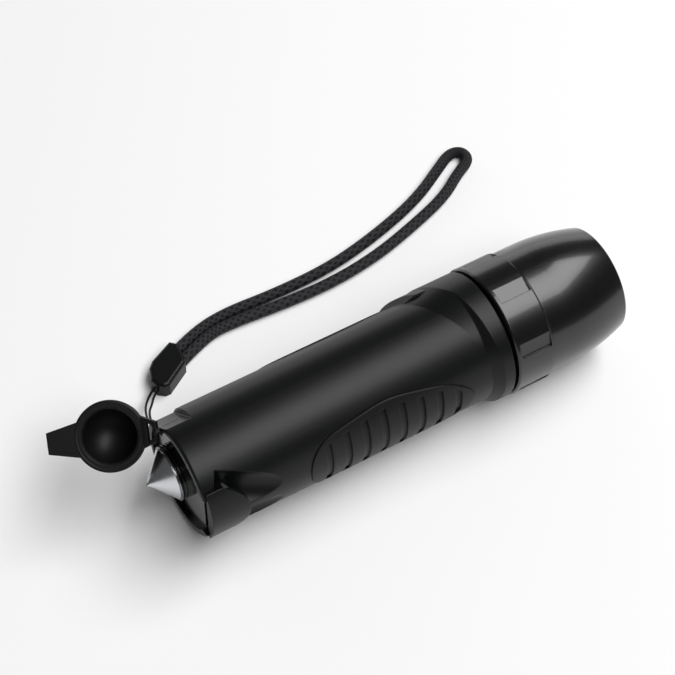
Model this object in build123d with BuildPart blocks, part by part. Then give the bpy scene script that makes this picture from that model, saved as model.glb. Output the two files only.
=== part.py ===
from build123d import *
import os
from math import cos, pi, radians, sin, tan

# An emergency torch that lies on its side. +X is the way the beam points, +Y is the
# user's left and +Z is up. The origin is the centre of the front rim. Lengths are in mm.
# The head screws on to the neck, so it turns and moves forward. The tail carries a
# glass-breaking point, a belt hook with a blade, a tethered rubber cap and a lanyard.

os.makedirs("parts", exist_ok=True)

# Stations along the axis
FRONT_X = 0.0
SEAM_X = -30.4            # joint between grip ring and bell
RING_TAIL_X = -43.8       # tail face of the grip ring
COLLAR_X = -45.2          # front face of the collar
NECK_END_X = -33.0        # front end of the threaded neck
STOP_X = -116.0           # front face of the battery stop
STOP_T = 3.0
PLATE_HEAD_X = -149.3     # front face of the hammer plate
PLATE_TAIL_X = -152.3
TAIL_X = -153.8           # tail rim
BOSS_X = -155.2           # end of the boss, base of the hammer point
TIP_X = -163.2            # apex of the hammer point

# Radii
BODY_R = 19.6
COLLAR_R = 21.6
RING_R = 22.0
BORE_R = 16.6
NECK_R = 18.0
CAVITY_R = 12.5
PLATE_R = 17.0
FIT = 0.08                # radial running clearance of the screwed neck
GAP = 0.3                 # clearance between pieces that move past each other


def half_wall(x_tail, x_head, r_in, r_out):
    """Adds the half section of a tube between two stations to the open sketch."""
    with Locations(((x_tail + x_head) / 2, (r_in + r_out) / 2)):
        Rectangle(x_head - x_tail, r_out - r_in)


def across(x, y=0.0, z=0.0):
    """A plane square to the axis that faces the head."""
    return Plane(origin=(x, y, z), x_dir=(0, 1, 0), z_dir=(1, 0, 0))


def facing_left(x, y):
    """A plane that faces +Y at a station and a distance from the axis."""
    return Plane(origin=(x, y, 0), x_dir=(1, 0, 0), z_dir=(0, 1, 0))


def finish(piece, name):
    """Labels a finished piece and writes it."""
    piece.part.label = name
    export_step(piece.part, f"parts/{name}.step")


# ---------------------------------------------------------------- shoulder of the body
SHOULDER_Y = 2.0          # its cone leans to the switch side
SHOULDER_TAIL_X, SHOULDER_TAIL_R = -72.8, 17.0
SHOULDER_MID_X, SHOULDER_MID_R = -52.8, 21.3
SHOULDER_HEAD_X, SHOULDER_HEAD_R = -48.8, 23.6

with BuildPart() as shoulder:
    with BuildSketch(Plane.XZ.offset(-SHOULDER_Y)):
        with BuildLine():
            Polyline(
                (SHOULDER_TAIL_X, 0),
                (SHOULDER_TAIL_X, SHOULDER_TAIL_R),
                (SHOULDER_MID_X, SHOULDER_MID_R),
                (SHOULDER_HEAD_X, SHOULDER_HEAD_R),
                (COLLAR_X, SHOULDER_HEAD_R),
                (COLLAR_X, 0),
                close=True,
            )
        make_face()
    revolve(axis=Axis((0, SHOULDER_Y, 0), (1, 0, 0)))
    with BuildSketch(Plane.XZ):
        half_wall(SHOULDER_TAIL_X, COLLAR_X, 0, COLLAR_R)
    revolve(axis=Axis.X, mode=Mode.INTERSECT)

# ---------------------------------------------------------------- side grips
GRIP_TAIL_X, GRIP_HEAD_X = -118.3, -59.3
GRIP_HALF_W = 12.8
GRIP_FLOOR_R = 18.4
GRIP_R = 19.95
GROOVES = 8
GROOVE_PITCH = 6.65
GROOVE_TAIL_X = -111.7
GROOVE_W = 2.2
GROOVE_DEPTH = 0.7

# Leaf-shaped side view of a grip: blunt at the tail, pointed at the head
GRIP_EDGE = [
    (-115.2, 8.2), (-102.0, 11.8), (-89.6, GRIP_HALF_W), (-77.0, 11.0), (-64.5, 6.8),
]
with BuildSketch(Plane.XZ) as grip_leaf:
    with BuildLine():
        Spline(
            (GRIP_TAIL_X, 0), *GRIP_EDGE, (GRIP_HEAD_X, 0),
            *[(x, -z) for x, z in reversed(GRIP_EDGE)],
            periodic=True,
        )
    make_face()

GROOVE_MARGIN = 1.8       # plain border round the grooves
with BuildSketch(Plane.XZ) as groove_leaf:
    with BuildLine():
        Spline(
            (GRIP_TAIL_X + GROOVE_MARGIN, 0),
            *[(x, z - GROOVE_MARGIN) for x, z in GRIP_EDGE],
            (GRIP_HEAD_X - 2 * GROOVE_MARGIN, 0),
            *[(x, GROOVE_MARGIN - z) for x, z in reversed(GRIP_EDGE)],
            periodic=True,
        )
    make_face()

BUTTON_X = -56.0
SWITCH_BOSS_R = 18.4      # the left grip stops at the boss of the switch
grip_stocks = []

for side, name in ((1, "right_grip"), (-1, "left_grip")):
    with BuildPart() as grip_stock:
        extrude(grip_leaf.sketch, amount=side * RING_R)
        with BuildSketch(Plane.XZ):
            half_wall(GRIP_TAIL_X - 1, GRIP_HEAD_X + 1, 0, GRIP_FLOOR_R)
        revolve(axis=Axis.X, mode=Mode.SUBTRACT)
        with BuildSketch(facing_left(BUTTON_X, 0)):
            Circle(SWITCH_BOSS_R)
        extrude(amount=2 * RING_R, mode=Mode.SUBTRACT)
    grip_stocks.append(grip_stock.part)
    with BuildPart() as grooves:
        with BuildSketch(Plane.XZ):
            for i in range(GROOVES):
                x = GROOVE_TAIL_X + i * GROOVE_PITCH
                half_wall(x - GROOVE_W / 2, x + GROOVE_W / 2, GRIP_R - GROOVE_DEPTH, RING_R)
        revolve(axis=Axis.X)
        extrude(groove_leaf.sketch, amount=side * RING_R, mode=Mode.INTERSECT)
    with BuildPart() as grip:
        add(grip_stock.part)
        with BuildSketch(Plane.XZ):
            half_wall(GRIP_TAIL_X - 1, GRIP_HEAD_X + 1, GRIP_R, 2 * RING_R)
        revolve(axis=Axis.X, mode=Mode.SUBTRACT)
        add(grooves.part, mode=Mode.SUBTRACT)
    finish(grip, name)

# ---------------------------------------------------------------- belt cutter
SLOT_FLOOR_Y = -14.0      # the slot that a belt is pulled through
SLOT_END_X, SLOT_HALF_W = -143.5, 9.0
GUARD_IN_Y = -16.8
GUARD_R = 20.4
GUARD_TAIL_X = -152.8
GUARD_L, GUARD_HALF_W = 13.0, 12.4
# Scoops beside the guard: they leave the tail's lip and run out towards the grip
SCOOP_R = 8.0
SCOOP_START = Vector(-150.8, -18.9, 11.7)
SCOOP_END = Vector(-130.0, -26.8, 5.7)
BLADE_T, BLADE_HALF_W = 0.6, 8.0
BLADE_X, BLADE_SLANT = -146.1, 2.0
BLADE_SEAT = 0.9          # how far its edges sit in the body and in the guard

with BuildPart() as cutter_blade:
    with BuildSketch(Plane.XY.offset(-BLADE_HALF_W)):
        with BuildLine():
            Polyline(
                (BLADE_X, SLOT_FLOOR_Y + BLADE_SEAT),
                (BLADE_X + BLADE_T, SLOT_FLOOR_Y + BLADE_SEAT),
                (BLADE_X + BLADE_SLANT + BLADE_T, GUARD_IN_Y - BLADE_SEAT),
                (BLADE_X + BLADE_SLANT, GUARD_IN_Y - BLADE_SEAT),
                close=True,
            )
        make_face()
    extrude(amount=2 * BLADE_HALF_W)
finish(cutter_blade, "cutter_blade")

with BuildPart() as guard_stock:
    with BuildSketch(Plane.XZ.offset(-GUARD_IN_Y)):
        with Locations((GUARD_TAIL_X, 0)):
            Ellipse(GUARD_L, GUARD_HALF_W)
        with Locations((GUARD_TAIL_X - GUARD_L / 2, 0)):
            Rectangle(GUARD_L, 2 * RING_R, mode=Mode.SUBTRACT)
    extrude(amount=RING_R + GUARD_IN_Y)

with BuildPart() as cutter_guard:
    add(guard_stock.part)
    with BuildSketch(Plane.XZ):
        half_wall(GUARD_TAIL_X, GUARD_TAIL_X + GUARD_L, 0, GUARD_R)
    revolve(axis=Axis.X, mode=Mode.INTERSECT)
    add(cutter_blade.part, mode=Mode.SUBTRACT)
finish(cutter_guard, "cutter_guard")

# ---------------------------------------------------------------- body shell
THREADS = 4
THREAD_PITCH = 2.0
THREAD_DEPTH = 0.5
SWITCH_BOSS_Y, SWITCH_BOSS_TAPER = 12.0, 25
SWITCH_BOSS_TOP_R = 21.3
PAD_R = 7.2
PAD_Y = 20.5
SWITCH_FLOOR_Y = 17.4
SWITCH_POCKET_R = 6.4
STRIP_W, STRIP_T, STRIP_FLOOR_Y = 4.0, 0.4, 17.0
FEED_X, FEED_R = -61.0, 0.8
# Flat on the tail rim that the cap's tether and the lanyard come out over
NOTCH_ANGLE = 46.0
NOTCH_R = 17.3
NOTCH_X = -145.0
# Rubber plug of the tether and the lanyard's hole
ANCHOR_Y, ANCHOR_Z, ANCHOR_R = 9.07, 13.51, 1.2
ANCHOR_HEAD_X, ANCHOR_TAIL_X = -147.0, -152.9
CORD_HOLE_Y, CORD_HOLE_Z, CORD_HOLE_R = 13.3, 7.4, 1.4
CORD_HOLE_HEAD_X = -147.5
# Hammer
TIP_Y = 3.0
BOSS_R = 9.0
SHANK_R = 4.0
TIP_R = 8.3

notch_plane = Plane(
    origin=(
        (NOTCH_X + BOSS_X) / 2,
        NOTCH_R * cos(radians(NOTCH_ANGLE)),
        NOTCH_R * sin(radians(NOTCH_ANGLE)),
    ),
    x_dir=(1, 0, 0),
    z_dir=(0, cos(radians(NOTCH_ANGLE)), sin(radians(NOTCH_ANGLE))),
)

# Round boss of the switch: its sloping side runs into the shoulder
with BuildPart() as switch_boss:
    with BuildSketch(facing_left(BUTTON_X, SWITCH_BOSS_Y)):
        Circle(SWITCH_BOSS_R)
    extrude(amount=RING_R - SWITCH_BOSS_Y, taper=SWITCH_BOSS_TAPER)
    with BuildSketch(Plane.XZ):
        half_wall(BUTTON_X - SWITCH_BOSS_R, COLLAR_X, 0, SWITCH_BOSS_TOP_R)
    revolve(axis=Axis.X, mode=Mode.INTERSECT)

with BuildPart() as body_shell:
    with BuildSketch(Plane.XZ):
        half_wall(TAIL_X, COLLAR_X, 0, BODY_R)
    revolve(axis=Axis.X)
    fillet(body_shell.edges().filter_by(GeomType.CIRCLE).sort_by(Axis.X)[0], 0.9)
    add(shoulder.part)
    # boss of the switch, with a flat seat round the button
    add(switch_boss.part)
    with BuildSketch(facing_left(BUTTON_X, BORE_R)):
        Circle(PAD_R)
    extrude(amount=PAD_Y - BORE_R)
    with BuildSketch(facing_left(BUTTON_X, PAD_Y)):
        Circle(PAD_R)
    extrude(amount=RING_R, mode=Mode.SUBTRACT)
    # threaded neck
    with BuildSketch(Plane.XZ):
        half_wall(COLLAR_X, NECK_END_X - THREAD_PITCH * THREADS, 0, NECK_R)
        half_wall(COLLAR_X, NECK_END_X, 0, NECK_R - THREAD_DEPTH)
        for i in range(THREADS):
            x = NECK_END_X - THREAD_PITCH * (i + 0.5)
            half_wall(x - THREAD_PITCH / 4, x + THREAD_PITCH / 4, 0, NECK_R)
    revolve(axis=Axis.X)
    # battery bore, tail cavity and the seat of the hammer plate
    with BuildSketch(Plane.XZ):
        half_wall(STOP_X, NECK_END_X, 0, BORE_R)
        half_wall(PLATE_HEAD_X, STOP_X - STOP_T, 0, CAVITY_R)
        half_wall(TAIL_X, PLATE_HEAD_X, 0, PLATE_R)
    revolve(axis=Axis.X, mode=Mode.SUBTRACT)
    # seats of the grips
    add(grip_stocks, mode=Mode.SUBTRACT)
    # switch pocket
    with BuildSketch(facing_left(BUTTON_X, SWITCH_FLOOR_Y)):
        Circle(SWITCH_POCKET_R)
    extrude(amount=RING_R, mode=Mode.SUBTRACT)
    # groove of the contact strip and the hole of its feed to the switch
    with BuildSketch(facing_left(0, CAVITY_R)):
        with Locations(((STOP_X + BUTTON_X) / 2, 0)):
            Rectangle(BUTTON_X - STOP_X, STRIP_W)
    extrude(amount=STRIP_FLOOR_Y - CAVITY_R, mode=Mode.SUBTRACT)
    with BuildSketch(facing_left(FEED_X, CAVITY_R)):
        Circle(FEED_R)
    extrude(amount=SWITCH_FLOOR_Y - CAVITY_R, mode=Mode.SUBTRACT)
    # slot, guard seat and scoops of the belt cutter
    with BuildSketch(Plane.XZ.offset(-SLOT_FLOOR_Y)):
        with Locations(((SLOT_END_X + TAIL_X) / 2, 0)):
            Rectangle(SLOT_END_X - TAIL_X, 2 * SLOT_HALF_W)
    extrude(amount=RING_R, mode=Mode.SUBTRACT)
    add(guard_stock.part, mode=Mode.SUBTRACT)
    for side in (1, -1):
        start = Vector(SCOOP_START.X, SCOOP_START.Y, side * SCOOP_START.Z)
        end = Vector(SCOOP_END.X, SCOOP_END.Y, side * SCOOP_END.Z)
        with BuildSketch(Plane(origin=start, z_dir=end - start)):
            Circle(SCOOP_R)
        extrude(amount=(end - start).length, mode=Mode.SUBTRACT)
    add(cutter_blade.part, mode=Mode.SUBTRACT)
    # flat for the tether, the hole of its plug and the lanyard's hole
    with BuildSketch(notch_plane):
        Rectangle(NOTCH_X - BOSS_X, 2 * RING_R)
    extrude(amount=RING_R, mode=Mode.SUBTRACT)
    with BuildSketch(across(ANCHOR_TAIL_X, ANCHOR_Y, ANCHOR_Z)):
        Circle(ANCHOR_R)
    extrude(amount=ANCHOR_HEAD_X - ANCHOR_TAIL_X, mode=Mode.SUBTRACT)
    with BuildSketch(across(PLATE_HEAD_X, CORD_HOLE_Y, CORD_HOLE_Z)):
        Circle(CORD_HOLE_R)
    extrude(amount=CORD_HOLE_HEAD_X - PLATE_HEAD_X, mode=Mode.SUBTRACT)
finish(body_shell, "body_shell")

# ---------------------------------------------------------------- neck seal
SEAL_R = 0.5

with BuildPart() as neck_o_ring:
    with BuildSketch(Plane.XZ):
        with Locations((COLLAR_X + SEAL_R, NECK_R + SEAL_R)):
            Circle(SEAL_R)
    revolve(axis=Axis.X)
finish(neck_o_ring, "neck_o_ring")

# ---------------------------------------------------------------- hammer
WASHER_R, WASHER_T = 8.0, 1.2
NUT_FLATS, NUT_T = 13.0, 5.0
SHANK_HEAD_X = -142.0
TIP_LAND = 0.5
BOSS_GROOVE_W, BOSS_GROOVE_DEPTH = 0.4, 0.3

with BuildPart() as tail_plate:
    with BuildSketch(across(PLATE_TAIL_X)):
        Circle(PLATE_R)
    extrude(amount=PLATE_HEAD_X - PLATE_TAIL_X)
    with BuildSketch(across(BOSS_X, TIP_Y)):
        Circle(BOSS_R)
    extrude(amount=PLATE_TAIL_X - BOSS_X)
    for groove_x in (BOSS_X + 0.7, BOSS_X + 1.8):
        with BuildSketch(across(groove_x, TIP_Y)):
            Circle(BOSS_R)
            Circle(BOSS_R - BOSS_GROOVE_DEPTH, mode=Mode.SUBTRACT)
        extrude(amount=BOSS_GROOVE_W, mode=Mode.SUBTRACT)
    with BuildSketch(across(BOSS_X, TIP_Y)):
        Circle(SHANK_R)
    extrude(amount=PLATE_HEAD_X - BOSS_X, mode=Mode.SUBTRACT)
    # cut back for the belt cutter, the tether's flat, its plug and the lanyard
    with BuildSketch(Plane.XZ.offset(-SLOT_FLOOR_Y)):
        with Locations(((PLATE_HEAD_X + PLATE_TAIL_X) / 2, 0)):
            Rectangle(2 * RING_R, 2 * SLOT_HALF_W)
    extrude(amount=RING_R, mode=Mode.SUBTRACT)
    with BuildSketch(across(BOSS_X, ANCHOR_Y, ANCHOR_Z)):
        Circle(ANCHOR_R)
    extrude(amount=ANCHOR_HEAD_X - BOSS_X, mode=Mode.SUBTRACT)
    with BuildSketch(across(BOSS_X, CORD_HOLE_Y, CORD_HOLE_Z)):
        Circle(CORD_HOLE_R)
    extrude(amount=PLATE_HEAD_X - BOSS_X, mode=Mode.SUBTRACT)
finish(tail_plate, "tail_plate")

with BuildPart() as hammer_tip:
    with BuildSketch(Plane.XZ.offset(-TIP_Y)):
        with BuildLine():
            Polyline(
                (TIP_X, 0),
                (BOSS_X - TIP_LAND, TIP_R),
                (BOSS_X, TIP_R),
                (BOSS_X, SHANK_R),
                (SHANK_HEAD_X, SHANK_R),
                (SHANK_HEAD_X, 0),
                close=True,
            )
        make_face()
    revolve(axis=Axis((0, TIP_Y, 0), (1, 0, 0)))
finish(hammer_tip, "hammer_tip")

with BuildPart() as hammer_washer:
    with BuildSketch(across(PLATE_HEAD_X, TIP_Y)):
        Circle(WASHER_R)
        Circle(SHANK_R, mode=Mode.SUBTRACT)
    extrude(amount=WASHER_T)
finish(hammer_washer, "hammer_washer")

with BuildPart() as hammer_nut:
    with BuildSketch(across(PLATE_HEAD_X + WASHER_T, TIP_Y)):
        RegularPolygon(NUT_FLATS / 2, 6, major_radius=False)
        Circle(SHANK_R, mode=Mode.SUBTRACT)
    extrude(amount=NUT_T)
finish(hammer_nut, "hammer_nut")

# ---------------------------------------------------------------- rubber cap and tether
CAP_MOUTH = Vector(-167.124, 16.946, 11.322)
CAP_NORMAL = Vector(-0.3366, -0.5803, 0.7416).normalized()   # the way the open cup faces
CAP_R, CAP_T = 11.0, 1.3
CUP_R, CUP_WALL, CUP_DEPTH = 8.7, 1.2, 8.7
TAB_X, TAB_W, TAB_END_W = 19.0, 11.0, 6.5
NECK_X, NECK_W, NECK_END_W = 9.8, 10.5, 6.0
ARM_T, ARM_W = 1.4, 2.0
HINGE_POINT = Vector(-154.03, 8.73, 14.50)

to_root = HINGE_POINT - CAP_MOUTH
cap_plane = Plane(
    origin=CAP_MOUTH,
    x_dir=to_root - CAP_NORMAL * to_root.dot(CAP_NORMAL),
    z_dir=CAP_NORMAL,
)
# The neck climbs from the flange to the plug
neck_start = cap_plane.from_local_coords(Vector(NECK_X, 0, -CAP_T / 2))
neck_run = HINGE_POINT - neck_start
neck_plane = Plane(
    origin=neck_start,
    x_dir=neck_run,
    z_dir=CAP_NORMAL - neck_run * (CAP_NORMAL.dot(neck_run) / neck_run.dot(neck_run)),
)
NECK_L = neck_run.length - 1.2

with BuildPart() as hammer_cap:
    with BuildSketch(cap_plane):
        Circle(CAP_R)
        with BuildLine():
            Polyline(
                (-CAP_R + 2, TAB_W / 2),
                (-TAB_X, TAB_END_W / 2),
                (-TAB_X, -TAB_END_W / 2),
                (-CAP_R + 2, -TAB_W / 2),
                close=True,
            )
        make_face()
    extrude(amount=-CAP_T)
    with BuildSketch(neck_plane):
        with BuildLine():
            Polyline(
                (-1, NECK_W / 2),
                (NECK_L, NECK_END_W / 2),
                (NECK_L, -NECK_END_W / 2),
                (-1, -NECK_W / 2),
                close=True,
            )
        make_face()
        with BuildLine():
            Polyline(
                (ARM_W, NECK_W / 2 - ARM_W),
                (NECK_L - 1.2, NECK_END_W / 2 - 1.2),
                (NECK_L - 1.2, -NECK_END_W / 2 + 1.2),
                (ARM_W, -NECK_W / 2 + ARM_W),
                close=True,
            )
        make_face(mode=Mode.SUBTRACT)
    extrude(amount=ARM_T / 2, both=True)
    with BuildSketch(cap_plane):
        Circle(CUP_R + CUP_WALL)
    extrude(amount=-(CUP_DEPTH + CUP_WALL))
    with BuildSketch(cap_plane):
        Circle(CUP_R)
    extrude(amount=-CUP_DEPTH, mode=Mode.SUBTRACT)
finish(hammer_cap, "hammer_cap")

with BuildPart() as cap_anchor:
    with BuildSketch(across(ANCHOR_TAIL_X, ANCHOR_Y, ANCHOR_Z)):
        Circle(ANCHOR_R)
    extrude(amount=ANCHOR_HEAD_X - ANCHOR_TAIL_X)
finish(cap_anchor, "cap_anchor")

# ---------------------------------------------------------------- batteries and carrier
CELL_R, CELL_BODY_L = 7.15, 48.7
CELL_NUB_R, CELL_NUB_L = 2.6, 1.5
CELL_PCD_R = 8.9
CELL_TAIL_X = -105.4
CARRIER_R = 16.3
CARRIER_TAIL_X, CARRIER_HEAD_X = -111.0, -52.0
END_PLATE_T = 3.0
SPINE_R = 1.6
RAIL_R = 1.0
CELL_ANGLES = (90.0, 210.0, 330.0)
CELL_HEAD_X = CELL_TAIL_X + CELL_BODY_L

with BuildPart() as battery_carrier:
    with BuildSketch(Plane.XZ):
        half_wall(CARRIER_TAIL_X, CARRIER_TAIL_X + END_PLATE_T, 0, CARRIER_R)
        half_wall(CARRIER_HEAD_X - END_PLATE_T, CARRIER_HEAD_X, 0, CARRIER_R)
        half_wall(CARRIER_TAIL_X, CARRIER_HEAD_X, 0, SPINE_R)
    revolve(axis=Axis.X)
    # three rails between the cells
    with BuildSketch(across(CARRIER_TAIL_X)):
        with PolarLocations(CARRIER_R - 1.5 * RAIL_R, 3, start_angle=CELL_ANGLES[0] + 60):
            Circle(RAIL_R)
    extrude(amount=CARRIER_HEAD_X - CARRIER_TAIL_X)
finish(battery_carrier, "battery_carrier")

for number, angle in enumerate(CELL_ANGLES, start=1):
    with BuildPart() as battery_cell:
        with BuildSketch(across(CELL_TAIL_X)):
            with PolarLocations(CELL_PCD_R, 1, start_angle=angle):
                Circle(CELL_R)
        extrude(amount=CELL_BODY_L)
        with BuildSketch(across(CELL_HEAD_X)):
            with PolarLocations(CELL_PCD_R, 1, start_angle=angle):
                Circle(CELL_NUB_R)
        extrude(amount=CELL_NUB_L)
    finish(battery_cell, f"battery_cell_{number}")

CONTACT_R = 4.0
TERMINAL_T = 0.4
CONTACT_T = CARRIER_HEAD_X - END_PLATE_T - CELL_HEAD_X - CELL_NUB_L

with BuildPart() as carrier_contacts:
    with BuildSketch(across(CELL_HEAD_X + CELL_NUB_L)):
        with PolarLocations(CELL_PCD_R, 3, start_angle=CELL_ANGLES[0]):
            Circle(CONTACT_R)
    extrude(amount=CONTACT_T)
finish(carrier_contacts, "carrier_contacts")

with BuildPart() as carrier_terminal:
    with BuildSketch(across(CARRIER_HEAD_X)):
        Circle(CONTACT_R)
    extrude(amount=TERMINAL_T)
finish(carrier_terminal, "carrier_terminal")


def coil(x_tail, x_head, y, z, coil_r, wire_r, turns):
    """A compression spring along the axis between two stations."""
    rise = x_head - x_tail - 2 * wire_r
    helix = Helix(
        pitch=rise / turns,
        height=rise,
        radius=coil_r,
        center=(x_tail + wire_r, y, z),
        direction=(1, 0, 0),
    )
    return sweep(Plane(origin=helix @ 0, z_dir=helix % 0) * Circle(wire_r), path=helix)


CELL_COIL_R, CELL_WIRE_R, CELL_TURNS = 2.6, 0.25, 2
TAIL_COIL_R, TAIL_WIRE_R, TAIL_TURNS = 6.0, 0.5, 2.5
DRIVER_COIL_R, DRIVER_WIRE_R, DRIVER_TURNS = 3.2, 0.4, 6
REAR_PLATE_R = 9.0

cell_coils = [
    coil(
        CARRIER_TAIL_X + END_PLATE_T, CELL_TAIL_X,
        CELL_PCD_R * cos(radians(angle)), CELL_PCD_R * sin(radians(angle)),
        CELL_COIL_R, CELL_WIRE_R, CELL_TURNS,
    )
    for angle in CELL_ANGLES
]
with BuildPart() as carrier_springs:
    add(cell_coils)
finish(carrier_springs, "carrier_springs")

with BuildPart() as rear_contact_plate:
    with BuildSketch(across(STOP_X)):
        Circle(REAR_PLATE_R)
    extrude(amount=TERMINAL_T)
finish(rear_contact_plate, "rear_contact_plate")

tail_coil = coil(
    STOP_X + TERMINAL_T, CARRIER_TAIL_X, 0, 0, TAIL_COIL_R, TAIL_WIRE_R, TAIL_TURNS
)
with BuildPart() as rear_contact_spring:
    add(tail_coil)
finish(rear_contact_spring, "rear_contact_spring")

# Strip that carries the current along the bore to the switch
with BuildPart() as contact_strip:
    with BuildSketch(facing_left(0, STRIP_FLOOR_Y - STRIP_T)):
        with Locations(((STOP_X + BUTTON_X) / 2, 0)):
            Rectangle(BUTTON_X - STOP_X, STRIP_W)
    extrude(amount=STRIP_T)
    with BuildSketch(across(STOP_X)):
        with Locations(((REAR_PLATE_R + STRIP_FLOOR_Y) / 2, 0)):
            Rectangle(STRIP_FLOOR_Y - REAR_PLATE_R, STRIP_W)
        Circle(REAR_PLATE_R, mode=Mode.SUBTRACT)
    extrude(amount=TERMINAL_T)
    with BuildSketch(facing_left(FEED_X, STRIP_FLOOR_Y - STRIP_T)):
        Circle(FEED_R)
    extrude(amount=SWITCH_FLOOR_Y - STRIP_FLOOR_Y + STRIP_T)
finish(contact_strip, "contact_strip")

# ---------------------------------------------------------------- switch
BUTTON_TRAVEL = 0.8
BOARD_T = 0.5
DOME_R, DOME_TOP_R, DOME_H = 3.0, 2.2, 0.3
BUTTON_R, BUTTON_TOP_Y = 4.7, 21.8
FLANGE_R, FLANGE_Y, FLANGE_T = 5.8, 19.2, 0.6
PLUNGER_R = 1.5
RETAINER_Y, RETAINER_TOP_Y, RETAINER_IN_R = 19.85, 20.5, 4.9
plunger_y = SWITCH_FLOOR_Y + BOARD_T + DOME_H + BUTTON_TRAVEL + 0.1

with BuildPart() as switch_board:
    with BuildSketch(facing_left(BUTTON_X, SWITCH_FLOOR_Y)):
        Circle(SWITCH_POCKET_R)
    extrude(amount=BOARD_T)
finish(switch_board, "switch_board")

with BuildPart() as switch_dome:
    with BuildSketch(facing_left(BUTTON_X, SWITCH_FLOOR_Y + BOARD_T)):
        Circle(DOME_R)
    with BuildSketch(facing_left(BUTTON_X, SWITCH_FLOOR_Y + BOARD_T + DOME_H)):
        Circle(DOME_TOP_R)
    loft()
finish(switch_dome, "switch_dome")

with BuildPart() as switch_button:
    with BuildSketch(facing_left(BUTTON_X, FLANGE_Y)):
        Circle(FLANGE_R)
    extrude(amount=FLANGE_T)
    with BuildSketch(facing_left(BUTTON_X, plunger_y)):
        Circle(PLUNGER_R)
    extrude(amount=FLANGE_T)
    with BuildSketch(facing_left(BUTTON_X, FLANGE_Y)):
        Circle(BUTTON_R)
    extrude(amount=BUTTON_TOP_Y - FLANGE_Y)
    fillet(switch_button.edges().filter_by(GeomType.CIRCLE).sort_by(Axis.Y)[-1], 0.8)
finish(switch_button, "switch_button")

with BuildPart() as switch_ring:
    with BuildSketch(facing_left(BUTTON_X, RETAINER_Y)):
        Circle(SWITCH_POCKET_R)
        Circle(RETAINER_IN_R, mode=Mode.SUBTRACT)
    extrude(amount=RETAINER_TOP_Y - RETAINER_Y)
finish(switch_ring, "switch_ring")

# ---------------------------------------------------------------- head
RING_STEP_X = -35.0
SLEEVE_R, SLEEVE_BORE_R = 20.0, 18.1
RING_CHAMFER = 0.5
FLUTES = 7
FLUTE_FIRST = 11.7
FLUTE_HALF_ANGLE = 6.75
FLUTE_TAIL_X, FLUTE_HEAD_X = -42.3, -31.2
FLUTE_DEPTH = 0.7
BELL_R, RIM_R = 21.4, 18.0
BELL_BORE_R = 17.0
BELL_FLAT_X = -22.0
ENGINE_R = BELL_BORE_R - FIT


def round_ring(radius, angle):
    """A point across the axis; the angle runs from +Z toward -Y."""
    return (-radius * sin(radians(angle)), radius * cos(radians(angle)))


with BuildPart() as grip_ring:
    with BuildSketch(Plane.XZ):
        half_wall(RING_TAIL_X, SEAM_X, NECK_R + FIT, RING_R)
    revolve(axis=Axis.X)
    outer_edges = grip_ring.edges().filter_by(GeomType.CIRCLE).sort_by(SortBy.RADIUS)[-2:]
    chamfer(outer_edges, RING_CHAMFER)
    with BuildSketch(Plane.XZ):
        half_wall(RING_STEP_X, SEAM_X, NECK_R, SLEEVE_R)
    revolve(axis=Axis.X, mode=Mode.SUBTRACT)
    # flutes: each starts flush and ends in a small step
    with BuildSketch(across(FLUTE_TAIL_X)):
        for i in range(FLUTES):
            middle = FLUTE_FIRST + i * 360 / FLUTES
            with BuildLine():
                Polyline(
                    round_ring(RING_R, middle - FLUTE_HALF_ANGLE),
                    round_ring(RING_R - FLUTE_DEPTH, middle + FLUTE_HALF_ANGLE),
                    round_ring(RING_R + 1, middle + FLUTE_HALF_ANGLE),
                    round_ring(RING_R + 1, middle - FLUTE_HALF_ANGLE),
                    close=True,
                )
            make_face()
    extrude(amount=FLUTE_HEAD_X - FLUTE_TAIL_X, mode=Mode.SUBTRACT)
finish(grip_ring, "grip_ring")

with BuildPart() as head_bell:
    with BuildSketch(Plane.XZ):
        with BuildLine():
            Polyline(
                (FRONT_X, RIM_R),
                (FRONT_X, BELL_BORE_R),
                (SEAM_X, BELL_BORE_R),
                (SEAM_X, SLEEVE_BORE_R),
                (RING_STEP_X, SLEEVE_BORE_R),
                (RING_STEP_X, SLEEVE_R),
                (SEAM_X, SLEEVE_R),
                (SEAM_X, BELL_R),
                (BELL_FLAT_X, BELL_R),
            )
            TangentArc((BELL_FLAT_X, BELL_R), (FRONT_X, RIM_R), tangent=(1, 0))
        make_face()
    revolve(axis=Axis.X)
finish(head_bell, "head_bell")

RETAINER_BORE_R = 15.2
RETAINER_TAIL_X, RETAINER_HEAD_X = -1.8, -0.6

with BuildPart() as lens_retainer:
    with BuildSketch(Plane.XZ):
        half_wall(RETAINER_TAIL_X, RETAINER_HEAD_X, RETAINER_BORE_R, BELL_BORE_R)
    revolve(axis=Axis.X)
finish(lens_retainer, "lens_retainer")

# ---------------------------------------------------------------- light engine
GASKET_T, LENS_T = 0.6, 1.8
GASKET_X = RETAINER_TAIL_X - GAP - GASKET_T
LENS_X = GASKET_X - LENS_T
BOWL_X, BOWL_MOUTH_R, BOWL_NECK_R, BOWL_WALL = -25.0, 15.4, 4.0, 1.2
LIP_T = 1.0
BOARD_R, LED_BOARD_T = 9.9, 1.2
EMITTER_R, EMITTER_T, EMITTER_DOME_R = 2.5, 0.6, 1.5
SINK_TAIL_X, SINK_STEM_X, SINK_STEM_R = -32.7, -34.4, 12.0
DRIVER_R, DRIVER_T = 13.0, 1.6

with BuildPart() as lens_gasket:
    with BuildSketch(Plane.XZ):
        half_wall(GASKET_X, GASKET_X + GASKET_T, RETAINER_BORE_R, ENGINE_R)
    revolve(axis=Axis.X)
finish(lens_gasket, "lens_gasket")

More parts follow.
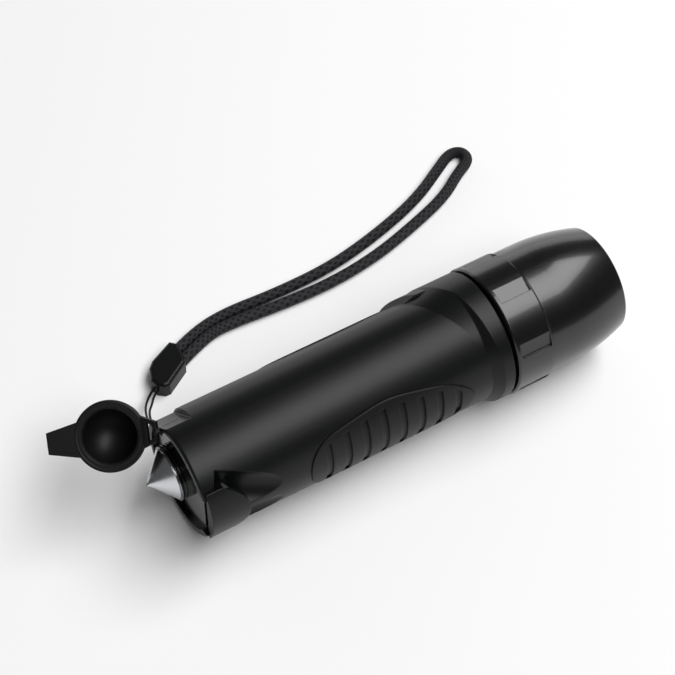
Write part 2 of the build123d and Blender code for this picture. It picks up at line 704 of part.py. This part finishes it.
with BuildPart() as lens:
    with BuildSketch(Plane.XZ):
        half_wall(LENS_X, GASKET_X, 0, ENGINE_R)
    revolve(axis=Axis.X)
finish(lens, "lens")

with BuildPart() as reflector:
    with BuildSketch(Plane.XZ):
        with BuildLine():
            inner = Spline(
                (BOWL_X, BOWL_NECK_R), (-20.0, 9.6), (-13.0, 13.0), (LENS_X, BOWL_MOUTH_R)
            )
            outer = Spline(
                (BOWL_X, BOWL_NECK_R + BOWL_WALL), (-20.0, 9.6 + BOWL_WALL),
                (-13.0, 13.0 + BOWL_WALL), (LENS_X - LIP_T, BOWL_MOUTH_R + BOWL_WALL),
            )
            Line(inner @ 0, outer @ 0)
            Polyline(outer @ 1, (LENS_X, BOWL_MOUTH_R + BOWL_WALL), inner @ 1)
        make_face()
        half_wall(LENS_X - LIP_T, LENS_X, BOWL_MOUTH_R + BOWL_WALL, ENGINE_R)
    revolve(axis=Axis.X)
finish(reflector, "reflector")

with BuildPart() as led_board:
    with BuildSketch(Plane.XZ):
        half_wall(BOWL_X - LED_BOARD_T, BOWL_X, 0, BOARD_R)
    revolve(axis=Axis.X)
finish(led_board, "led_board")

with BuildPart() as led_emitter:
    with BuildSketch(Plane.XZ):
        half_wall(BOWL_X, BOWL_X + EMITTER_T, 0, EMITTER_R)
    revolve(axis=Axis.X)
    with Locations((BOWL_X + EMITTER_T, 0, 0)):
        Sphere(
            EMITTER_DOME_R, arc_size1=0, rotation=(0, 90, 0),
            align=(Align.CENTER, Align.CENTER, Align.MIN),
        )
finish(led_emitter, "led_emitter")

with BuildPart() as heat_sink:
    with BuildSketch(Plane.XZ):
        half_wall(SINK_TAIL_X, BOWL_X - LED_BOARD_T, 0, ENGINE_R)
        half_wall(SINK_STEM_X, SINK_TAIL_X, 0, SINK_STEM_R)
    revolve(axis=Axis.X)
finish(heat_sink, "heat_sink")

with BuildPart() as driver_board:
    with BuildSketch(Plane.XZ):
        half_wall(SINK_STEM_X - DRIVER_T, SINK_STEM_X, 0, DRIVER_R)
    revolve(axis=Axis.X)
finish(driver_board, "driver_board")

driver_coil = coil(
    CARRIER_HEAD_X + TERMINAL_T + GAP, SINK_STEM_X - DRIVER_T, 0, 0,
    DRIVER_COIL_R, DRIVER_WIRE_R, DRIVER_TURNS,
)
with BuildPart() as contact_spring:
    add(driver_coil)
finish(contact_spring, "contact_spring")

# ---------------------------------------------------------------- lanyard
FLOOR_Z = -22.0
STRAP_D = 3.9
CORD_D = 0.75
CLASP_H = 6.0
CLASP_TURN = 33.4
CLASP_X, CLASP_Y = -131.6, 51.9


def tube(points, diameter, name):
    """A cord: straight runs joined by arcs. Prints its length, radii and volume."""
    places = [Vector(*point) for point in points]
    radii = []
    for before, here, after in zip(places, places[1:], places[2:]):
        run_in, run_out = here - before, after - here
        half_turn = radians(run_in.get_angle(run_out)) / 2
        radii.append(0.45 * min(run_in.length, run_out.length) / tan(half_turn))
    path = FilletPolyline(*places, radius=radii)
    solid = sweep(Plane(origin=path @ 0, z_dir=path % 0) * Circle(diameter / 2), path=path)
    expected = pi * diameter**2 / 4 * path.length
    print(f"{name}: length {path.length:.1f}, radii {[round(r, 1) for r in radii]}")
    print(f"{name}: volume {solid.volume:.1f}, section x length {expected:.1f}")
    return solid


clasp_plane = Plane(
    origin=(CLASP_X, CLASP_Y, FLOOR_Z),
    x_dir=(cos(radians(CLASP_TURN)), sin(radians(CLASP_TURN)), 0),
    z_dir=(0, 0, 1),
)
with BuildPart() as lanyard_clasp:
    with BuildSketch(clasp_plane):
        with BuildLine():
            Polyline(
                (9.4, 4.0), (10.0, 1.0), (5.8, -3.9), (4.3, -4.9), (-6.0, -4.7),
                (-7.5, -3.6), (-8.3, -1.0), (-7.3, 1.7), (-3.1, 4.6), (-0.2, 5.2),
                close=True,
            )
        make_face()
    extrude(amount=CLASP_H)
    fillet(lanyard_clasp.edges().group_by(Axis.Z)[-1], 1.2)
finish(lanyard_clasp, "lanyard_clasp")

STRAP_Z = FLOOR_Z + STRAP_D / 2 + 0.1
STRAP_ROUTE = [
    (-126.4, 57.3), (-117.0, 61.6), (-104.0, 64.0), (-84.0, 62.6), (-62.0, 63.2),
    (-40.0, 68.0), (-20.0, 74.7), (-5.6, 83.0), (1.6, 87.2), (6.2, 85.6),
    (6.0, 80.8), (-1.0, 77.4), (-11.0, 70.6), (-27.0, 64.9), (-46.0, 59.4),
    (-66.0, 56.9), (-86.0, 57.6), (-106.0, 59.4), (-115.0, 57.9), (-125.2, 53.3),
]
strap_solid = tube([(x, y, STRAP_Z) for x, y in STRAP_ROUTE], STRAP_D, "strap")
with BuildPart() as lanyard_strap:
    add(strap_solid)
finish(lanyard_strap, "lanyard_strap")

CORD_ROUTE = [
    (-150.6, 13.9, 8.0), (-153.0, 14.4, 7.9), (-153.3, 17.4, 6.4), (-151.9, 23.2, 1.9),
    (-148.6, 32.4, -6.6), (-144.6, 40.6, -14.6), (-141.2, 45.3, -18.2),
    (-138.0, 47.9, -19.0), (-135.2, 49.8, -19.0), (-134.6, 48.4, -19.0),
    (-137.4, 46.5, -19.0), (-140.8, 43.3, -17.2), (-144.3, 36.6, -10.9),
    (-148.6, 29.4, -3.6), (-151.9, 20.6, 3.6), (-153.3, 15.6, 6.6),
    (-152.7, 12.9, 6.9), (-150.6, 12.8, 6.9),
]
cord_solid = tube(CORD_ROUTE, CORD_D, "cord")
with BuildPart() as lanyard_cord:
    add(cord_solid)
finish(lanyard_cord, "lanyard_cord")
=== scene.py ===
"""Emergency torch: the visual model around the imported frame, with its finishes, light and camera."""

import logging
from dataclasses import dataclass, field
from enum import Enum
from math import cos, pi, radians, sin

import bpy
from mathutils import Matrix, Vector


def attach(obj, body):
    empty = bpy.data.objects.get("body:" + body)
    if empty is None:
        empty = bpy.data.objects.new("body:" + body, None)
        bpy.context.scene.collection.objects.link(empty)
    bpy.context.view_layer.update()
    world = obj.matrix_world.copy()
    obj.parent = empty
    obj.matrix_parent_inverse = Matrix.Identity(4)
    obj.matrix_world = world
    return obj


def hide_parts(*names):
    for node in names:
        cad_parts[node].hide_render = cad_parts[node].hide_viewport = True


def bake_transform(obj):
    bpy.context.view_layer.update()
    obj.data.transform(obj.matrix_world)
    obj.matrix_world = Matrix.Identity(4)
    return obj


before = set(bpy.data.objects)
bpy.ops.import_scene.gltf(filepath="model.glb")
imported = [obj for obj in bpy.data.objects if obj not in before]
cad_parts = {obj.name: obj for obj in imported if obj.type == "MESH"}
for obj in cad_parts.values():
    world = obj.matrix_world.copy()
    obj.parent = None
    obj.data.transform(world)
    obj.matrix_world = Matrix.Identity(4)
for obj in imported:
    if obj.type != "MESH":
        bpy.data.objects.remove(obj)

LOG = logging.getLogger("torch")
MM = 0.001
COAT_ROUGHNESS = 0.08
GRAIN_DETAIL = 3.0
EDGE_SAMPLES = 6


# ---------------------------------------------------------------------------- colour and materials


def linear(hex_colour: str) -> tuple[float, float, float, float]:
    """Converts an sRGB hex colour to the linear values that shaders use.

    Args:
        hex_colour: Six hex digits with a leading hash.

    Returns:
        Linear red, green, blue and an alpha of one.
    """
    channels = [int(hex_colour[i : i + 2], 16) / 255 for i in (1, 3, 5)]
    values = [c / 12.92 if c <= 0.04045 else ((c + 0.055) / 1.055) ** 2.4 for c in channels]
    return (values[0], values[1], values[2], 1.0)


class Body(Enum):
    """The CAD bodies that pieces ride on."""

    ROOT = "root"
    BUTTON = "button"
    CAP = "cap"
    HEAD = "head"
    ENGINE = "light_engine"


@dataclass(frozen=True)
class Finish:
    """A procedural surface finish.

    Attributes:
        name: Material name, after the real material.
        base: sRGB base colour.
        roughness: Microfacet roughness.
        metallic: One for bare metal, zero otherwise.
        grain: Size of the surface grain in metres, or zero for none.
        bump: Depth of the grain in metres.
        mottle: How far the roughness wanders, from zero to one.
        coat: Weight of a clear glossy layer.
        transmission: One for clear glass.
        specular: Strength of the mirror reflection; 0.5 is a plain dielectric.
        edge: Radius in metres that edges are rounded to in shading, or zero.
    """

    name: str
    base: str
    roughness: float
    metallic: float = 0.0
    grain: float = 0.0
    bump: float = 0.0
    mottle: float = 0.0
    coat: float = 0.0
    transmission: float = 0.0
    specular: float = 0.5
    edge: float = 0.0

    def material(self) -> bpy.types.Material:
        """Builds the material once and returns it.

        Returns:
            The Blender material with this finish.
        """
        known = bpy.data.materials.get(self.name)
        if known:
            return known
        made = bpy.data.materials.new(self.name)
        made.use_nodes = True
        nodes, links = made.node_tree.nodes, made.node_tree.links
        shader = nodes["Principled BSDF"]
        shader.inputs["Base Color"].default_value = linear(self.base)
        shader.inputs["Roughness"].default_value = self.roughness
        shader.inputs["Metallic"].default_value = self.metallic
        shader.inputs["Coat Weight"].default_value = self.coat
        shader.inputs["Coat Roughness"].default_value = COAT_ROUGHNESS
        shader.inputs["Transmission Weight"].default_value = self.transmission
        shader.inputs["Specular IOR Level"].default_value = self.specular
        made.diffuse_color = linear(self.base)
        round_edge = None
        if self.edge:
            round_edge = nodes.new("ShaderNodeBevel")
            round_edge.samples = EDGE_SAMPLES
            round_edge.inputs["Radius"].default_value = self.edge
            links.new(round_edge.outputs["Normal"], shader.inputs["Normal"])
        if self.grain:
            place = nodes.new("ShaderNodeTexCoord")
            noise = nodes.new("ShaderNodeTexNoise")
            noise.inputs["Scale"].default_value = 1.0 / self.grain
            noise.inputs["Detail"].default_value = GRAIN_DETAIL
            links.new(place.outputs["Object"], noise.inputs["Vector"])
            bump = nodes.new("ShaderNodeBump")
            bump.inputs["Strength"].default_value = 1.0
            bump.inputs["Distance"].default_value = self.bump
            links.new(noise.outputs["Fac"], bump.inputs["Height"])
            if round_edge:
                links.new(round_edge.outputs["Normal"], bump.inputs["Normal"])
            links.new(bump.outputs["Normal"], shader.inputs["Normal"])
            if self.mottle:
                spread = nodes.new("ShaderNodeMapRange")
                spread.inputs["To Min"].default_value = self.roughness * (1 - self.mottle)
                spread.inputs["To Max"].default_value = self.roughness * (1 + self.mottle)
                links.new(noise.outputs["Fac"], spread.inputs["Value"])
                links.new(spread.outputs["Result"], shader.inputs["Roughness"])
        return made


# Moulded ABS: near black, a fine spark texture that spreads its highlights softly.
ABS = Finish(
    "moulded_abs_satin", "#0A0B0C", 0.36, grain=0.0006, bump=0.00002, mottle=0.12,
    specular=0.24, edge=0.0005,
)
# Thermoplastic rubber of the grips: darker and flatter than the ABS.
TPE = Finish(
    "moulded_tpe_soft", "#070708", 0.45, grain=0.0005, bump=0.00002, mottle=0.1,
    specular=0.28, edge=0.0005,
)
# Satin anodised aluminium of the head: long smooth highlights, deep blacks.
ANODISED = Finish(
    "hard_anodised_aluminium", "#060607", 0.26, grain=0.0004, bump=0.000006, mottle=0.1,
    coat=0.3, edge=0.0004,
)
# Glossy ABS of the tail plate.
GLOSS = Finish("moulded_abs_gloss", "#060607", 0.2, coat=0.3, edge=0.0004)
# Silicone rubber of the cap, the button and the seals: soft and matt.
RUBBER = Finish(
    "silicone_rubber", "#070708", 0.48, grain=0.0008, bump=0.00002, mottle=0.1,
    specular=0.3, edge=0.0006,
)
# Turned and polished carbon steel.
STEEL = Finish(
    "polished_carbon_steel", "#CFD1D4", 0.2, metallic=1.0, grain=0.0012, bump=0.000004, mottle=0.2
)
# Zinc-plated steel of the fasteners.
ZINC = Finish("zinc_plated_steel", "#B9BBBE", 0.35, metallic=1.0, grain=0.0006, bump=0.000004, mottle=0.2)
# Ground blade steel.
BLADE = Finish("ground_blade_steel", "#A9ACB0", 0.28, metallic=1.0, grain=0.0006, bump=0.000004, mottle=0.2)
# Nickel-plated spring contacts.
NICKEL = Finish("nickel_plated_spring_steel", "#C6C4BC", 0.25, metallic=1.0)
# Brass contacts.
BRASS = Finish("rolled_brass", "#D9B468", 0.28, metallic=1.0)
# Printed shrink film round the cells.
WRAP = Finish("printed_shrink_film", "#2F6B46", 0.3, coat=0.4)
# Circuit board with solder mask.
BOARD = Finish("solder_mask", "#1F5A3A", 0.4, coat=0.3)
# Vacuum-metallised reflector.
MIRROR = Finish("vacuum_metallised", "#E6E7E9", 0.06, metallic=1.0)
# Phosphor dome of the light source.
PHOSPHOR = Finish("silicone_phosphor", "#E3C34A", 0.35)
# Turned aluminium of the heat sink.
ALUMINIUM = Finish("turned_aluminium", "#BFC1C4", 0.32, metallic=1.0)
# Clear polycarbonate lens.
CLEAR = Finish("clear_polycarbonate", "#FFFFFF", 0.03, transmission=1.0)
# Twisted nylon of the thin cord.
TWINE = Finish("twisted_nylon", "#050505", 0.7, grain=0.0003, bump=0.0001, specular=0.15)
# Studio paper of the floor: plain and pale.
PAPER = Finish("studio_paper", "#FCFCFC", 0.95)


# ---------------------------------------------------------------------------- making pieces


def deselect() -> None:
    """Clears the selection, so that an operator touches only what it should."""
    bpy.ops.object.select_all(action="DESELECT")


def activate(piece: bpy.types.Object) -> None:
    """Selects one piece and makes it active.

    Args:
        piece: The piece to select.
    """
    deselect()
    piece.select_set(True)
    bpy.context.view_layer.objects.active = piece


def apply_modifier(piece: bpy.types.Object, kind: str, **settings: object) -> None:
    """Adds a modifier, sets it and applies it.

    Args:
        piece: The piece to modify.
        kind: The modifier's type.
        **settings: Its properties.
    """
    activate(piece)
    modifier = piece.modifiers.new(kind.lower(), kind)
    for name, value in settings.items():
        setattr(modifier, name, value)
    bpy.ops.object.modifier_apply(modifier=modifier.name)


def smooth(piece: bpy.types.Object, angle: float = 60.0) -> None:
    """Shades a piece smooth below an edge angle.

    Args:
        piece: The piece to shade.
        angle: The angle in degrees.
    """
    activate(piece)
    bpy.ops.object.shade_smooth_by_angle(angle=radians(angle))


def dress(piece: bpy.types.Object, finish: Finish, body: Body) -> bpy.types.Object:
    """Gives a piece its finish and lets it ride on its body.

    Args:
        piece: The piece.
        finish: Its finish.
        body: The CAD body that it moves with.

    Returns:
        The same piece.
    """
    piece.data.materials.clear()
    piece.data.materials.append(finish.material())
    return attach(piece, body.value)


@dataclass(frozen=True)
class Repaint:
    """CAD nodes that keep their shape and get a finish.

    Attributes:
        finish: The finish.
        nodes: The nodes' names.
    """

    finish: Finish
    nodes: tuple[str, ...]

    def apply(self) -> None:
        """Paints the nodes."""
        for name in self.nodes:
            node = bpy.data.objects[name]
            node.data.materials.clear()
            node.data.materials.append(self.finish.material())


REPAINTS = (
    Repaint(ABS, ("body_shell", "cutter_guard", "switch_ring", "lanyard_clasp", "battery_carrier")),
    Repaint(TPE, ("left_grip", "right_grip")),
    Repaint(ANODISED, ("grip_ring", "head_bell", "lens_retainer")),
    Repaint(GLOSS, ("tail_plate",)),
    Repaint(RUBBER, ("neck_o_ring", "hammer_cap", "cap_anchor", "switch_button", "lens_gasket")),
    Repaint(STEEL, ("hammer_tip",)),
    Repaint(ZINC, ("hammer_washer", "hammer_nut")),
    Repaint(BLADE, ("cutter_blade",)),
    Repaint(NICKEL, (
        "carrier_contacts", "carrier_springs", "rear_contact_plate", "rear_contact_spring",
        "switch_dome", "contact_spring",
    )),
    Repaint(BRASS, ("carrier_terminal", "contact_strip")),
    Repaint(WRAP, ("battery_cell_1", "battery_cell_2", "battery_cell_3")),
    Repaint(BOARD, ("switch_board", "led_board", "driver_board")),
    Repaint(MIRROR, ("reflector",)),
    Repaint(PHOSPHOR, ("led_emitter",)),
    Repaint(ALUMINIUM, ("heat_sink",)),
    Repaint(CLEAR, ("lens",)),
)


# ---------------------------------------------------------------------------- lanyard

FLOOR_Z = -22.0
STRAP_D = 3.9
CORD_D = 0.75
STRAP_Z = FLOOR_Z + STRAP_D / 2 + 0.1
BRAID_PITCH = 2.6 * MM
BRAID_STRANDS = 5
BRAID_DEPTH = 0.12 * MM
BRAID_ROUGHNESS = 0.62
BRAID_SPECULAR = 0.2
# Braid colours: painted shade for the grooves between the yarns and a painted highlight for their crests;
# the nylon itself is black.
BRAID_PAINTED_SHADE, BRAID_PAINTED_HIGHLIGHT = "#010101", "#2C2C30"
STRAP_LENGTH = 279.3 * MM
CORD_LENGTH = 104.8 * MM
STRAP_ROUTE = [
    (-126.4, 57.3), (-117.0, 61.6), (-104.0, 64.0), (-84.0, 62.6), (-62.0, 63.2),
    (-40.0, 68.0), (-20.0, 74.7), (-5.6, 83.0), (1.6, 87.2), (6.2, 85.6),
    (6.0, 80.8), (-1.0, 77.4), (-11.0, 70.6), (-27.0, 64.9), (-46.0, 59.4),
    (-66.0, 56.9), (-86.0, 57.6), (-106.0, 59.4), (-115.0, 57.9), (-125.2, 53.3),
]
CORD_ROUTE = [
    (-150.6, 13.9, 8.0), (-153.0, 14.4, 7.9), (-153.3, 17.4, 6.4), (-151.9, 23.2, 1.9),
    (-148.6, 32.4, -6.6), (-144.6, 40.6, -14.6), (-141.2, 45.3, -18.2),
    (-138.0, 47.9, -19.0), (-135.2, 49.8, -19.0), (-134.6, 48.4, -19.0),
    (-137.4, 46.5, -19.0), (-140.8, 43.3, -17.2), (-144.3, 36.6, -10.9),
    (-148.6, 29.4, -3.6), (-151.9, 20.6, 3.6), (-153.3, 15.6, 6.6),
    (-152.7, 12.9, 6.9), (-150.6, 12.8, 6.9),
]


def maths(
    tree: bpy.types.NodeTree, operation: str, *values: bpy.types.NodeSocket | float
) -> bpy.types.NodeSocket:
    """Adds a maths node to a material.

    Args:
        tree: The material's node tree.
        operation: What the node computes.
        *values: Its inputs, as sockets or plain numbers.

    Returns:
        Its result.
    """
    node = tree.nodes.new("ShaderNodeMath")
    node.operation = operation
    for socket, value in zip(node.inputs, values):
        if isinstance(value, bpy.types.NodeSocket):
            tree.links.new(value, socket)
        else:
            socket.default_value = value
    return node.outputs[0]


def braid_material() -> bpy.types.Material:
    """Black braided nylon: crossing diagonal yarns along the strap's own UV, with a painted highlight on
    the yarns' crests and painted shade in the grooves between them.

    Returns:
        The braid material.
    """
    made = bpy.data.materials.new("braided_nylon")
    made.use_nodes = True
    tree = made.node_tree
    nodes, links = tree.nodes, tree.links
    shader = nodes["Principled BSDF"]
    shader.inputs["Roughness"].default_value = BRAID_ROUGHNESS
    shader.inputs["Specular IOR Level"].default_value = BRAID_SPECULAR
    place = nodes.new("ShaderNodeTexCoord")
    split = nodes.new("ShaderNodeSeparateXYZ")
    links.new(place.outputs["UV"], split.inputs["Vector"])
    along = maths(tree, "MULTIPLY", split.outputs["X"], STRAP_LENGTH / BRAID_PITCH * 2 * pi)
    waves = []
    for hand in (1.0, -1.0):
        turns = hand * BRAID_STRANDS * 2 * pi
        waves.append(maths(tree, "SINE", maths(tree, "MULTIPLY_ADD", split.outputs["Y"], turns, along)))
    weave = maths(tree, "MAXIMUM", *waves)
    bump = nodes.new("ShaderNodeBump")
    bump.inputs["Distance"].default_value = BRAID_DEPTH
    links.new(weave, bump.inputs["Height"])
    links.new(bump.outputs["Normal"], shader.inputs["Normal"])
    # Painted light: the colour runs from painted shade in the grooves to a painted highlight on the crests,
    # following the weave's height.
    painted_light_ramp = nodes.new("ShaderNodeMapRange")
    painted_light_ramp.inputs["From Min"].default_value = -1.0
    links.new(weave, painted_light_ramp.inputs["Value"])
    colour = nodes.new("ShaderNodeMix")
    colour.data_type = "RGBA"
    colour.inputs["A"].default_value = linear(BRAID_PAINTED_SHADE)
    colour.inputs["B"].default_value = linear(BRAID_PAINTED_HIGHLIGHT)
    links.new(painted_light_ramp.outputs["Result"], colour.inputs["Factor"])
    links.new(colour.outputs["Result"], shader.inputs["Base Color"])
    return made


@dataclass
class FreeCord:
    """A free cord along listed points.

    Attributes:
        name: The piece's name.
        node: The CAD tube that it stands for.
        points: The route in millimetres.
        diameter: Its width in metres.
        length: Its real length in metres; not used.
        far_end: What its far end meets; not used.
        stiffness: How it bends; not used.
    """

    name: str
    node: str
    points: list[tuple[float, float, float]]
    diameter: float
    length: float
    far_end: str
    stiffness: str

    def build(self, material: bpy.types.Material, clasp: bpy.types.Object) -> bpy.types.Object:
        """Args:
            material: Its surface.
            clasp: The clasp that is on it; not used.

        Returns:
            The curve object.
        """
        data = bpy.data.curves.new(self.name, "CURVE")
        data.dimensions = "3D"
        data.bevel_depth = self.diameter / 2
        data.bevel_resolution = 6
        data.resolution_u = 16
        data.use_fill_caps = True
        line = data.splines.new("NURBS")
        line.points.add(len(self.points) - 1)
        for point, place in zip(line.points, self.points):
            point.co = (*(Vector(place) * MM), 1.0)
        line.order_u = 3
        line.use_endpoint_u = True
        piece = bpy.data.objects.new(self.name, data)
        bpy.context.collection.objects.link(piece)
        data.materials.append(material)
        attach(piece, Body.ROOT.value)
        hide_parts(self.node)
        return piece


# ---------------------------------------------------------------------------- rubber cap


def settle(piece: bpy.types.Object, place: Matrix) -> None:
    """Moves a piece's shape to its place and leaves its origin at the frame's.

    Args:
        piece: The piece.
        place: Where its shape goes.
    """
    piece.data.transform(place)
    piece.matrix_world = Matrix.Identity(4)


def standing(point: Vector, direction: Vector) -> Matrix:
    """The placement that turns +Z to a direction at a point.

    Args:
        point: The point in metres.
        direction: The direction.

    Returns:
        The placement.
    """
    return Matrix.Translation(point) @ direction.to_track_quat("Z", "Y").to_matrix().to_4x4()


@dataclass
class RubberCap:
    """What the moulded cap has beyond its CAD shape: rolled rim, round hollow and soft tether.

    Attributes:
        mouth: Centre of the cup's mouth in metres.
        facing: The way the open cup faces.
        hinge: The point that the tether bends about, in metres.
        plug: Where the tether comes out of its plug, in metres.
        rim_r: Radius of the rolled rim's centre line.
        rim_half: Half its thickness.
        hollow_r: Radius of the hollow.
        wall: Thickness of the hollow's wall.
        rim_depth: How far the rim's centre line lies below the mouth.
        hollow_depth: How far the hollow's centre lies below the mouth.
        hollow_trim: How much of the ball under its centre is cut off with the top half.
        tether_w: Width of the tether.
        tether_t: Thickness of the tether.
        tether_hold: How far the tether runs on into the cap's neck.
        tether_edge: Rounding of the tether's edges.
    """

    mouth: Vector = field(default_factory=lambda: Vector((-167.124, 16.946, 11.322)) * MM)
    facing: Vector = field(default_factory=lambda: Vector((-0.3366, -0.5803, 0.7416)).normalized())
    hinge: Vector = field(default_factory=lambda: Vector((-154.03, 8.73, 14.5)) * MM)
    plug: Vector = field(default_factory=lambda: Vector((-152.6, 9.07, 13.51)) * MM)
    rim_r: float = 10.3 * MM
    rim_half: float = 0.72 * MM
    hollow_r: float = 8.35 * MM
    wall: float = 0.25 * MM
    rim_depth: float = 0.62 * MM
    hollow_depth: float = 0.05 * MM
    hollow_trim: float = 0.1 * MM
    tether_w: float = 1.7 * MM
    tether_t: float = 1.3 * MM
    tether_hold: float = 2.0 * MM
    tether_edge: float = 0.25 * MM

    def rim(self) -> None:
        """Rolls the rim of the flange."""
        deselect()
        bpy.ops.mesh.primitive_torus_add(
            major_segments=96, minor_segments=20, major_radius=self.rim_r, minor_radius=self.rim_half
        )
        piece = bpy.context.object
        piece.name = "cap_rolled_rim"
        settle(piece, standing(self.mouth - self.facing * self.rim_depth, self.facing))
        smooth(piece)
        dress(piece, RUBBER, Body.CAP)

    def hollow(self) -> None:
        """Rounds the inside of the cup."""
        deselect()
        bpy.ops.mesh.primitive_uv_sphere_add(segments=72, ring_count=36, radius=self.hollow_r)
        piece = bpy.context.object
        piece.name = "cap_hollow"
        bpy.ops.object.mode_set(mode="EDIT")
        bpy.ops.mesh.select_all(action="SELECT")
        bpy.ops.mesh.bisect(plane_co=(0, 0, -self.hollow_trim), plane_no=(0, 0, 1), clear_outer=True)
        bpy.ops.object.mode_set(mode="OBJECT")
        apply_modifier(piece, "SOLIDIFY", thickness=self.wall, offset=1.0)
        settle(piece, standing(self.mouth - self.facing * self.hollow_depth, self.facing))
        smooth(piece)
        dress(piece, RUBBER, Body.CAP)

    def tether(self) -> None:
        """Joins the plug to the cap's neck with a straight strip."""
        to_cap = (self.mouth - self.hinge).normalized()
        start, end = self.plug, self.hinge + to_cap * self.tether_hold
        run = end - start
        deselect()
        bpy.ops.mesh.primitive_cube_add(size=1.0)
        piece = bpy.context.object
        piece.name = "cap_tether"
        bpy.ops.object.mode_set(mode="EDIT")
        bpy.ops.mesh.select_all(action="SELECT")
        bpy.ops.transform.resize(value=(self.tether_w, self.tether_t, run.length))
        bpy.ops.mesh.subdivide(number_cuts=7)
        bpy.ops.object.mode_set(mode="OBJECT")
        apply_modifier(piece, "BEVEL", width=self.tether_edge, segments=2)
        settle(piece, standing((start + end) / 2, run.normalized()))
        smooth(piece)
        piece.data.materials.append(RUBBER.material())
        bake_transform(piece)

    def build(self) -> None:
        """Makes the cap's rim, hollow and tether."""
        self.rim()
        self.hollow()
        self.tether()


# ---------------------------------------------------------------------------- stage


@dataclass(frozen=True)
class SoftLight:
    """A square studio softbox.

    Attributes:
        name: Its name.
        place: Its centre in metres.
        aim: The point it faces, in metres.
        size: Its width and height in metres.
        power: Its power in watts.
    """

    name: str
    place: tuple[float, float, float]
    aim: tuple[float, float, float]
    size: tuple[float, float]
    power: float

    def build(self) -> None:
        """Adds the light."""
        data = bpy.data.lights.new(self.name, "AREA")
        data.shape = "RECTANGLE"
        data.size, data.size_y = self.size
        data.energy = self.power
        lamp = bpy.data.objects.new(self.name, data)
        bpy.context.collection.objects.link(lamp)
        lamp.location = self.place
        towards = Vector(self.aim) - Vector(self.place)
        lamp.rotation_euler = towards.to_track_quat("-Z", "Y").to_euler()


@dataclass
class Stage:
    """Floor, lights, world and camera.

    Attributes:
        aim: The point that the camera looks at, in metres.
        distance: The camera's distance from it.
        azimuth: The camera's azimuth.
        elevation: The camera's elevation.
        lens: The camera's focal length in millimetres.
        floor_size: Width of the floor.
        ambient: Strength of the even light from all round.
        lights: The softboxes.
    """

    aim: Vector = field(default_factory=lambda: Vector((-97.494, 0.0, 32.239)) * MM)
    distance: float = 598.2 * MM
    azimuth: float = radians(-31.046)
    elevation: float = radians(51.494)
    lens: float = 106.67
    floor_size: float = 6.0
    ambient: float = 0.09
    lights: tuple[SoftLight, ...] = (
        SoftLight("top_softbox", (0.55, -0.5, 1.65), (-0.09, 0.0, 0.0), (3.0, 0.85), 47.0),
        SoftLight("back_softbox", (0.2, 1.6, 0.32), (-0.09, 0.0, 0.1), (3.0, 0.6), 7.0),
    )

    def camera(self) -> None:
        """Sets the camera at the object's viewing angle."""
        data = bpy.data.cameras.new("camera")
        data.lens = self.lens
        data.sensor_width = 36.0
        data.clip_start = 0.01
        view = bpy.data.objects.new("camera", data)
        bpy.context.collection.objects.link(view)
        back = Vector((
            sin(self.azimuth) * cos(self.elevation),
            -cos(self.azimuth) * cos(self.elevation),
            sin(self.elevation),
        ))
        view.location = self.aim + back * self.distance
        view.rotation_euler = (-back).to_track_quat("-Z", "Y").to_euler()
        bpy.context.scene.camera = view

    def floor(self) -> None:
        """Lays the pale floor just under the torch."""
        deselect()
        bpy.ops.mesh.primitive_plane_add(size=self.floor_size, location=(0.0, 0.0, FLOOR_Z * MM))
        ground = bpy.context.object
        ground.name = "floor"
        ground.data.materials.append(PAPER.material())

    def build(self) -> None:
        """Makes the whole stage."""
        self.floor()
        world = bpy.data.worlds.new("studio")
        world.use_nodes = True
        backdrop = world.node_tree.nodes["Background"]
        backdrop.inputs["Color"].default_value = (1, 1, 1, 1)
        backdrop.inputs["Strength"].default_value = self.ambient
        bpy.context.scene.world = world
        bpy.context.scene.view_settings.view_transform = "Standard"
        for light in self.lights:
            light.build()


def main() -> None:
    """Builds the scene around the frame."""
    logging.basicConfig(level=logging.INFO, format="%(message)s")
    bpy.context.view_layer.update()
    stage = Stage()
    stage.camera()
    clasp = bpy.data.objects["lanyard_clasp"]
    twine = FreeCord(
        "wrist_cord", "lanyard_cord", CORD_ROUTE, CORD_D * MM, CORD_LENGTH, "object", "limp"
    )
    twine.build(TWINE.material(), clasp)
    strap = FreeCord(
        "wrist_strap", "lanyard_strap", [(x, y, STRAP_Z) for x, y in STRAP_ROUTE],
        STRAP_D * MM, STRAP_LENGTH, "fitting", "limp",
    )
    strap.build(braid_material(), clasp)
    for repaint in REPAINTS:
        repaint.apply()
    RubberCap().build()
    stage.build()
    LOG.info("torch scene built")


if __name__ == "__main__":
    main()
